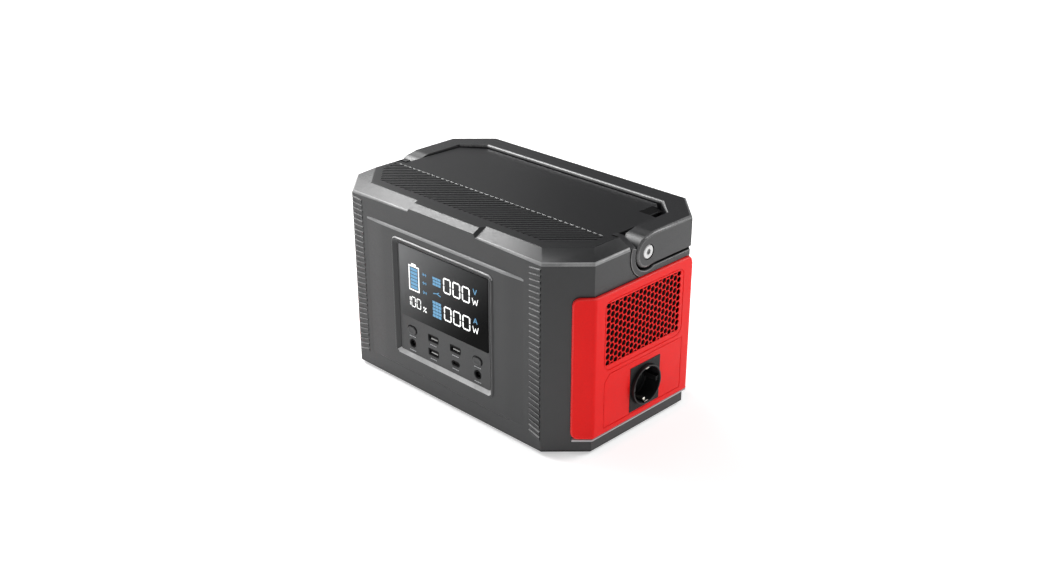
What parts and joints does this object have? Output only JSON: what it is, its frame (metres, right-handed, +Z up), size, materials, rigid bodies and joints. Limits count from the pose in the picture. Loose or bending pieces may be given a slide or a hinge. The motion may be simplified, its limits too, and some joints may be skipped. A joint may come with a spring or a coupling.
{
  "type": "power station",
  "caption": "Portable battery power station with chamfered corners, folding carry handle, display front with buttons and ports, vented side panels and an earthed mains socket.",
  "frame": {"origin": "on the standing surface, under the middle of the overall box", "axes": "+X towards the socket side, -Y towards the display side, +Z up"},
  "size_m": [0.3414, 0.2052, 0.202],
  "materials": {
    "housing": "fine matt grain",
    "steel": "zinc plated",
    "rubber": "matt",
    "deck": "matt",
    "nylon": "natural",
    "red": "satin",
    "black": "matt",
    "gloss": "polished",
    "board": "solder mask",
    "cell": "blue film wrap",
    "alu": "plain extruded",
    "copper": "enamelled winding",
    "lead_red": "flexible insulation",
    "lead_black": "flexible insulation"
  },
  "bodies": {
    "housing": {"bottom_cover": "housing", "base_screw_1": "steel", "base_screw_2": "steel", "base_screw_3": "steel", "base_screw_4": "steel", "foot_1": "rubber", "foot_2": "rubber", "foot_3": "rubber", "foot_4": "rubber", "front_housing": "housing", "rear_housing": "housing", "top_cover": "deck", "handle_bolt_right": "steel", "handle_washer_right": "nylon", "hinge_bracket_right": "housing", "handle_bolt_left": "steel", "handle_washer_left": "nylon", "hinge_bracket_left": "housing", "side_panel_right": "red", "side_panel_left": "red", "socket_plate": "black", "socket_insert": "black", "earth_clip_upper": "steel", "earth_clip_lower": "steel", "front_bezel": "housing", "control_panel": "housing", "display_lens": "gloss", "lcd_module": "black", "control_board": "board", "ac_switch": "black", "dc_switch": "black", "usb_a_port_1": "steel", "usb_a_port_2": "steel", "usb_a_port_3": "steel", "usb_c_port": "steel", "dc_jack_left": "black", "dc_jack_right": "black", "fan_frame_front": "black", "fan_frame_rear": "black", "battery_cell_1": "cell", "battery_cell_2": "cell", "battery_cell_3": "cell", "battery_cell_4": "cell", "battery_cell_5": "cell", "battery_cell_6": "cell", "battery_cell_7": "cell", "battery_cell_8": "cell", "battery_strap": "alu", "bms_board": "board", "inverter_board": "board", "heat_sink_front": "alu", "heat_sink_rear": "alu", "transformer": "copper", "battery_lead_positive": "lead_red", "battery_lead_negative": "lead_black"},
    "handle": {"handle": "housing"},
    "ac_button": {"ac_button": "housing"},
    "dc_button": {"dc_button": "housing"},
    "fan_rotor_front": {"fan_rotor_front": "black"},
    "fan_rotor_rear": {"fan_rotor_rear": "black"}
  },
  "joints": [
    {"name": "handle_hinge", "type": "hinge", "parent": "housing", "child": "handle", "pos_m": [-0.002, 0.0052, 0.1843], "axis": [1, 0, 0], "range_deg": [0, 90]},
    {"name": "ac_button_press", "type": "slide", "parent": "housing", "child": "ac_button", "axis": [0, 1, 0], "range_m": [0, 0.0012], "stiffness_N_per_m": 400, "springref_m": -0.0005},
    {"name": "dc_button_press", "type": "slide", "parent": "housing", "child": "dc_button", "axis": [0, 1, 0], "range_m": [0, 0.0012], "stiffness_N_per_m": 400, "springref_m": -0.0005},
    {"name": "fan_front_spin", "type": "hinge", "parent": "housing", "child": "fan_rotor_front", "pos_m": [0.152, -0.0304, 0.119], "axis": [1, 0, 0], "continuous": true},
    {"name": "fan_rear_spin", "type": "hinge", "parent": "housing", "child": "fan_rotor_rear", "pos_m": [0.152, 0.0316, 0.119], "axis": [1, 0, 0], "continuous": true}
  ]
}
